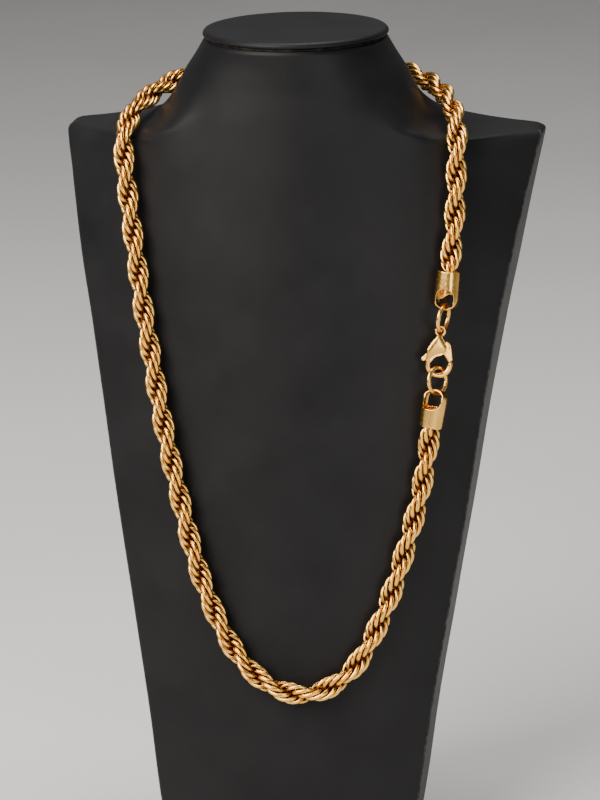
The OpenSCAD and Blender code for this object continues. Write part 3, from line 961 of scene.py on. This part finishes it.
def convex_outline(points):
    """The outer points of a set, anticlockwise."""
    points = sorted(points)

    def half(chain):
        out = []
        for p in chain:
            while len(out) > 1 and ((out[-1][0] - out[-2][0]) * (p[1] - out[-2][1])
                                    - (out[-1][1] - out[-2][1]) * (p[0] - out[-2][0])) <= 0:
                out.pop()
            out.append(p)
        return out[:-1]

    return half(points) + half(points[::-1])


def hull_field(rounds, x, z):
    """Distance outside the outline that wraps some rounds of the clasp's plane."""
    rim = []
    for across, radius, up in rounds:
        r = radius * CLAW_R
        for a in np.linspace(0, 2 * math.pi, ROUND_STEPS, endpoint=False):
            rim.append((across * CLAW_R + r * math.cos(a),
                        CLAW_R + up * CLASP_RISE + r * math.sin(a)))
    rim = convex_outline(rim)
    out = INSIDE
    for (ax, az), (bx, bz) in zip(rim, rim[1:] + rim[:1]):
        length = math.hypot(bx - ax, bz - az)
        if length > SHORTEST_SIDE:
            out = np.maximum(out, ((bz - az) * (x - ax) - (bx - ax) * (z - az)) / length)
    return out


def gate_field(x, z):
    """Distance beyond the split between the hook's tip and the lever's."""
    a = math.radians(GATE_ANGLE)
    return (z - GATE_AT[1]) * math.cos(a) - (x - GATE_AT[0]) * math.sin(a)


def hoop_field(x, y, z, middle, radius, wire):
    return np.hypot(np.hypot(x, z - middle) - radius, y) - wire / 2


def hollow_field(cut, x, z):
    """Distance inside the round hollow that a cut takes out of the clasp's plane."""
    across, radius, up = cut
    return radius * CLAW_R - np.hypot(x - across * CLAW_R, z - CLAW_R - up * CLASP_RISE)


def clasp_body_field(x, y, z):
    """The claw: a thin plate between domed cheeks, its hook, and the eye on top."""
    slot_low, slot_high = (CLAW_R + share * CLASP_RISE for share in SLOT_SHARES)
    plate = blend_max(hull_field(CHEEK_ROUNDS, x, z), hollow_field(CHEEK_CUT, x, z), BLEND_SOFT)
    thin = mix(HOOK_WIRE / 2, PLATE_HALF, smooth(TAIL_LOW, slot_low, z))
    plate = blend_max(plate, np.abs(y) - thin, BLEND_CRISP)
    outline = hull_field(CHEEK_ROUNDS, x - DOME_SKEW * y, z)
    outline = blend_max(outline, hollow_field(DOME_CUT, x, z), BLEND_SOFT)
    outline = blend_max(outline, TAIL_END - z, BLEND_TAIL)
    depth = np.clip(-outline / DOME_REACH, 0, 1)
    half = mix(DOME_EDGE, DOME_HALF, np.sqrt(1 - (1 - depth) ** 2))
    half = half * mix(TAIL_SHARE, 1, smooth(TAIL_LOW, TAIL_HIGH, z))
    cheeks = blend_min(blend_max(outline, np.abs(y) - half, BLEND_EDGE), plate, BLEND_CRISP)
    slot = np.maximum(np.abs(y) - SLOT_HALF, np.maximum(slot_low - z, z - slot_high))
    cheeks = blend_max(cheeks, -slot, BLEND_SHEET)
    angle = np.degrees(np.arctan2(z - CLAW_R, x)) % 360
    wire = HOOK_WIRE * np.where(x < 0, np.sqrt(smooth(HOOK_START, HOOK_FULL, angle)), 1)
    hook = hoop_field(x, y, z, CLAW_R, HOOK_R, wire)
    hook = blend_max(hook, np.where(x > 0, gate_field(x, z), INSIDE), BLEND_EDGE)
    eye = hoop_field(x, y, z, EYE_Z, CLASP_EYE_R, EYE_WIRE)
    return blend_min(blend_min(cheeks, hook, BLEND_ROOT), eye, BLEND_EYE)


def lever_field(x, y, z):
    """The lever: its arm down to the gate, and its thumb nub on the other side."""
    arm = hull_field((PIVOT, SHOULDER, ELBOW), x, z)
    arm = blend_min(arm, hull_field((SHOULDER, ELBOW, TIP), x, z), BLEND_EDGE)
    arm = blend_max(arm, GATE_GAP - gate_field(x, z), BLEND_EDGE)
    slim_pivot = (PIVOT[0], PIVOT[1] - NUB_SLIMMER, PIVOT[2])
    nub = blend_min(hull_field((slim_pivot, NUB_ROOT), x, z),
                    hull_field((NUB_ROOT, NUB_TIP), x, z), BLEND_SOFT)
    outline = blend_min(arm, nub, BLEND_SOFT)
    reach = np.hypot(x - PIVOT[0] * CLAW_R, z - CLAW_R - PIVOT[2] * CLASP_RISE)
    half = mix(LEVER_HALF, ARM_HALF, smooth(ARM_FROM, ARM_RAMP * ARM_FROM, reach) * (x > 0))
    inner = outline + LEVER_ROUND
    side = np.abs(y) - half + LEVER_ROUND
    return (np.hypot(np.maximum(inner, 0), np.maximum(side, 0))
            + np.minimum(np.maximum(inner, side), 0) - LEVER_ROUND)


def upper_eye_field(x, y, z):
    """The upper cap's eye: pointed in front, and cut less deep through the back."""
    front = UPPER_POINT_Z + EYE_BROW * (np.abs(x) / EYE_R) ** EYE_CUSP
    behind = mix(*BACK_EDGE, smooth(*BACK_SLOPE, x))
    hole = np.hypot(x, np.maximum(np.abs(z - CAP_EYE_Z) - EYE_STRETCH, 0)) - EYE_R
    return blend_max(hole, np.where(y < 0, front, behind) - z, BLEND_SOFT)


def lower_eye_field(x, y, z):
    """The lower cap's eye: round on one side of the seam, square on the other."""
    middle = LOWER_POINT_Z + EYE_R
    hole = np.hypot(x, np.where(x < 0, np.maximum(z - middle, 0), z - middle)) - EYE_R
    return blend_max(hole, LOWER_POINT_Z - z, BLEND_SOFT)


def cap_field(x, y, z, eye_field, point_z):
    """A cap of rolled sheet, its mouth at z = 0 and its eye at the far end."""
    flare = CAP_FLARE * np.clip(z / CAP_DOME_Z, 0, 1)
    tube = np.hypot(x, y) - CAP_R - flare
    end_r = CAP_R + CAP_FLARE
    loop = np.where(z > CAP_DOME_Z, np.hypot(x, z - CAP_DOME_Z) - end_r, np.abs(x) - end_r)
    outer = blend_max(tube, loop, BLEND_ROOT)
    sheet = blend_max(outer, -outer - CAP_WALL, BLEND_SHEET)
    wave = MOUTH_WAVE * (1 + np.sin(MOUTH_WAVES * np.arctan2(y, x)))
    sheet = blend_max(sheet, wave - z, BLEND_SHEET)
    strap = np.abs(y) - mix(CAP_R, STRAP_HALF, smooth(STRAP_FROM, STRAP_TO, z))
    sheet = blend_max(sheet, strap, BLEND_SOFT)
    sheet = blend_max(sheet, -eye_field(x, y, z), BLEND_SHEET)
    seam = np.maximum(np.maximum(np.abs(x) - SEAM_HALF, y), z - point_z - SEAM_OVERRUN)
    seam = np.maximum(seam, -outer - SEAM_DEPTH)
    return blend_max(sheet, -seam, BLEND_SEAM)


def make_clasp(material):
    matrix = clasp_matrix()
    body = solid_object("clasp_body_skin", clasp_body_field, CLASP_BOX, CLASP_GRID, matrix)
    finish_piece(body, WORN, GOLD, material, "clasp_body")
    lever = solid_object("clasp_lever_skin", lever_field, LEVER_BOX, LEVER_GRID, matrix)
    finish_piece(lever, LEVER, GOLD, material, "clasp_lever")


def make_caps(material, line):
    """The two caps, set down where the ends of the rope lie in them."""
    plane = clasp_matrix()
    upper = (line[0], turned(y=UPPER_CAP_TILT), UPPER_HELD, turned(y=180, z=UPPER_CAP_TWIST),
             upper_eye_field, UPPER_POINT_Z)
    lower = (line[-1], turned(x=LOWER_CAP_NOD) @ turned(y=LOWER_CAP_TILT), -LOWER_HELD,
             turned(z=LOWER_CAP_TWIST), lower_eye_field, LOWER_POINT_Z)
    for name, place in (("upper", upper), ("lower", lower)):
        end, lean, held, twist, eye_field, point_z = place
        turn = plane.to_3x3().to_4x4() @ lean
        mouth = Vector(end) + turn @ Vector((0, 0, held))
        cap = solid_object(name + "_cap_skin",
                           lambda x, y, z: cap_field(x, y, z, eye_field, point_z),
                           CAP_BOX, CAP_GRID, Matrix.Translation(mouth) @ turn @ twist)
        finish_piece(cap, WORN, GOLD, material, name + "_end_cap")


def make_ring(node, name, material):
    ring = welded_copy(node, name)
    finish_piece(ring, WORN, GOLD, material, node)


def paint_pin(material):
    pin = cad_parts["clasp_pin"]
    pin.data.materials.clear()
    pin.data.materials.append(material)


make_camera()
make_stage()
gold = gold_material()
leather = leather_material()
make_bust(leather)
make_disc(leather)
make_glue(glue_material())
rope_line = tube_line("rope_chain")
make_rope(gold, rope_line)
make_caps(gold, rope_line)
make_ring("upper_jump_ring", "upper_ring_skin", gold)
make_ring("lower_jump_ring", "lower_ring_skin", gold)
make_clasp(gold)
paint_pin(gold)
